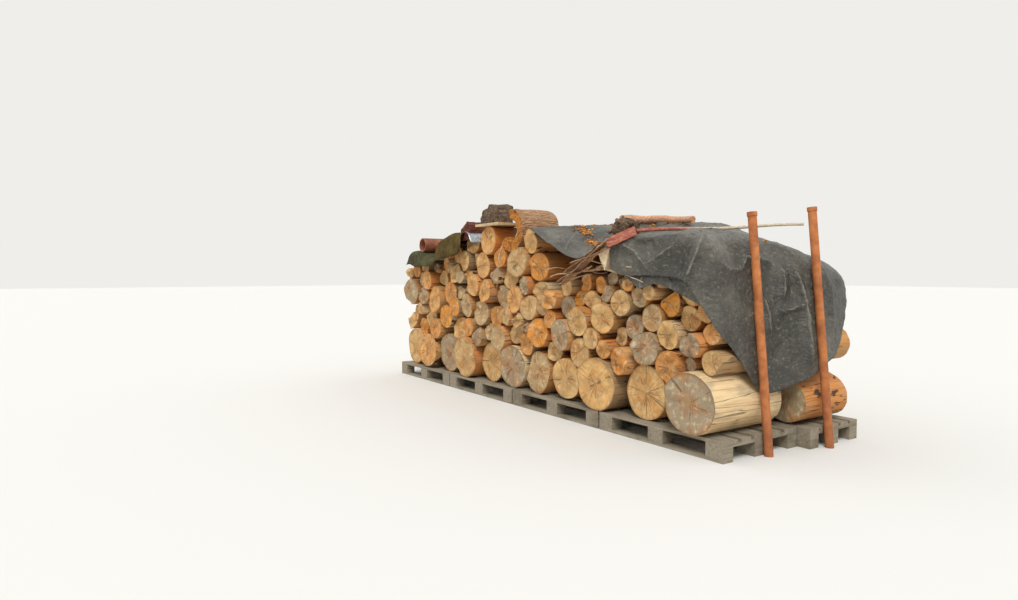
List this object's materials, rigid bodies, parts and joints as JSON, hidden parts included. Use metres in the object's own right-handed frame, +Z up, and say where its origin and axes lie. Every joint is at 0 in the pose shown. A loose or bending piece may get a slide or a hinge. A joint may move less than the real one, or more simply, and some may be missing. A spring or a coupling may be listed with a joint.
{
  "type": "log store",
  "caption": "Long stack of cordwood two rows deep on pallets, held by leaning steel stakes, with worn tarps over one end and odds and ends on top.",
  "frame": {"origin": "middle of the stack's outline, at the underside of the pallets, on the ground", "axes": "+Z up, +X along the stack towards the end with the big tarp, +Y from the front row to the back row"},
  "size_m": [5.1102, 1.4924, 1.9154],
  "materials": {
    "cordwood": "matte",
    "pallet_wood": "matte",
    "weathered_wood": "matte",
    "board_wood": "matte",
    "rusty_steel": "rough",
    "woven_tarp": "satin",
    "zinc": "matte",
    "felt": "matte",
    "clay": "matte"
  },
  "bodies": {
    "root": {"front_pallet_base_boards": "pallet_wood", "front_pallet_blocks": "pallet_wood", "front_pallet_cross_boards": "pallet_wood", "front_pallet_deck_boards": "pallet_wood", "back_pallet_base_boards": "pallet_wood", "back_pallet_blocks": "pallet_wood", "back_pallet_cross_boards": "pallet_wood", "back_pallet_deck_boards": "pallet_wood", "front_logs_right_course_1": "cordwood", "front_logs_right_course_2": "cordwood", "front_logs_right_course_3": "cordwood", "front_logs_right_course_4": "cordwood", "front_logs_right_course_5": "cordwood", "front_logs_right_course_6": "cordwood", "back_logs_right_course_1": "cordwood", "back_logs_right_course_2": "cordwood", "back_logs_right_course_3": "cordwood", "front_logs_left_course_1": "cordwood", "front_logs_left_course_2": "cordwood", "front_logs_left_course_3": "cordwood", "front_logs_left_course_4": "cordwood", "front_logs_left_course_5": "cordwood", "front_logs_left_course_6": "cordwood", "back_logs_left_course_1": "cordwood", "back_logs_left_course_2": "cordwood", "back_logs_left_course_3": "cordwood", "right_front_stake": "rusty_steel", "right_back_stake": "rusty_steel", "left_front_stake": "rusty_steel", "left_back_stake": "rusty_steel", "stake_caps": "rusty_steel", "end_tarp": "woven_tarp", "middle_tarp": "woven_tarp", "hollow_log": "weathered_wood", "stump": "weathered_wood", "root_weight": "weathered_wood", "bark_slab": "weathered_wood", "top_plank": "board_wood", "offcut": "board_wood", "short_board": "board_wood", "ridge_pole": "board_wood", "zinc_sheet": "zinc", "felt_sheet": "felt", "flat_sheet": "felt", "clay_pipe": "clay"}
  },
  "joints": []
}
